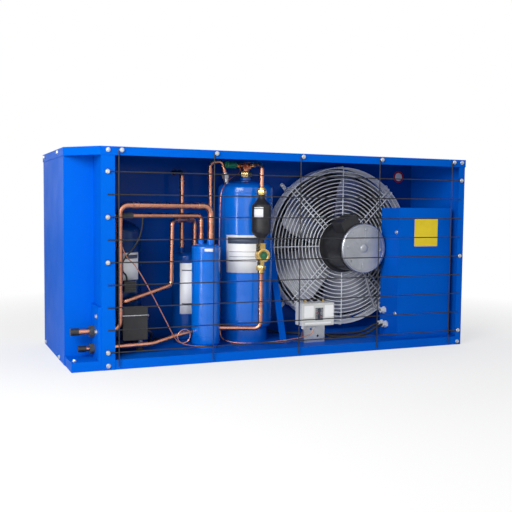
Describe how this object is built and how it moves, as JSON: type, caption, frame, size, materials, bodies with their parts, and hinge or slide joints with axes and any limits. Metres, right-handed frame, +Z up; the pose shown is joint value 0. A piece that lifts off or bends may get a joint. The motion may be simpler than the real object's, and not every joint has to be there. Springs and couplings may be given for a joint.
{
  "type": "refrigeration condensing unit",
  "caption": "Air-cooled refrigeration condensing unit: folded steel casing with wire guard, hermetic compressor, receiver, liquid line fittings, axial fan and finned coil.",
  "frame": {"origin": "centre of the four mounting holes in the lip of the base, on the underside", "axes": "+X to the right along the front, +Y from the front guard to the coil at the rear, +Z up"},
  "size_m": [1.2088, 0.4722, 0.57],
  "materials": {
    "blue_paint": "glossy powder coat",
    "navy_paint": "glossy paint",
    "zinc": "zinc plated",
    "black_wire": "black coating",
    "copper": "drawn copper",
    "black_rubber": "matte",
    "grey_foam": "closed-cell foam",
    "white_plastic": "moulded",
    "brass": "machined",
    "clear_glass": "clear",
    "green_plastic": "moulded",
    "guard_white": "light coating",
    "cast_alloy": "satin"
  },
  "bodies": {
    "casing": {"accumulator": "blue_paint", "base_pan": "blue_paint", "box_body": "blue_paint", "box_cover": "blue_paint", "box_electrics": "white_plastic", "cable_glands": "white_plastic", "cables": "black_rubber", "capillaries": "copper", "coil_fins": "cast_alloy", "coil_frame": "zinc", "coil_tubes": "copper", "compressor_bolts": "zinc", "compressor_feet": "navy_paint", "compressor_grommets": "black_rubber", "compressor_shell": "navy_paint", "condensate_line": "copper", "discharge_line": "copper", "fan_guard": "guard_white", "fan_ring": "zinc", "fan_wall": "blue_paint", "filter_drier": "black_wire", "front_guard": "black_wire", "hot_gas_line": "copper", "left_end_panel": "blue_paint", "liquid_lines": "copper", "liquid_stub": "copper", "motor_body": "black_wire", "motor_end_shield": "cast_alloy", "motor_terminal_box": "black_wire", "oil_separator": "navy_paint", "panel_screws": "zinc", "pipe_plate": "blue_paint", "pipe_sleeves": "grey_foam", "receiver": "blue_paint", "receiver_inlet": "zinc", "receiver_valve": "copper", "receiver_valve_cap": "green_plastic", "return_line": "copper", "right_end_panel": "blue_paint", "sight_glass_body": "brass", "sight_glass_lens": "clear_glass", "suction_line": "copper", "suction_stub": "copper", "switch_body": "white_plastic", "switch_bracket": "zinc", "switch_cover": "white_plastic", "switch_window": "clear_glass", "terminal_bail": "white_plastic", "terminal_box": "black_wire", "terminal_cover": "black_wire", "thermostat_block": "black_wire", "top_cover": "blue_paint", "union_nuts": "brass", "wall_brace": "blue_paint"},
    "fan": {"fan_hub": "cast_alloy", "fan_blades": "cast_alloy"},
    "suction_cap": {"suction_cap": "black_rubber"},
    "liquid_cap": {"liquid_cap": "black_rubber"},
    "cutin_spindle": {"cutin_spindle": "brass"},
    "cutout_spindle": {"cutout_spindle": "brass"}
  },
  "joints": [
    {"name": "fan_spin", "type": "hinge", "parent": "casing", "child": "fan", "pos_m": [0.304, 0.05, 0.297], "axis": [0, 1, 0], "continuous": true},
    {"name": "suction_cap_pull", "type": "slide", "parent": "casing", "child": "suction_cap", "axis": [-1, 0, 0], "range_m": [0, 0.06]},
    {"name": "liquid_cap_pull", "type": "slide", "parent": "casing", "child": "liquid_cap", "axis": [-1, 0, 0], "range_m": [0, 0.06]},
    {"name": "cutin_turn", "type": "hinge", "parent": "casing", "child": "cutin_spindle", "pos_m": [0.079, -0.181, 0.146], "axis": [0, 0, 1], "range_deg": [-720, 720]},
    {"name": "cutout_turn", "type": "hinge", "parent": "casing", "child": "cutout_spindle", "pos_m": [0.137, -0.181, 0.146], "axis": [0, 0, 1], "range_deg": [-720, 720]}
  ]
}
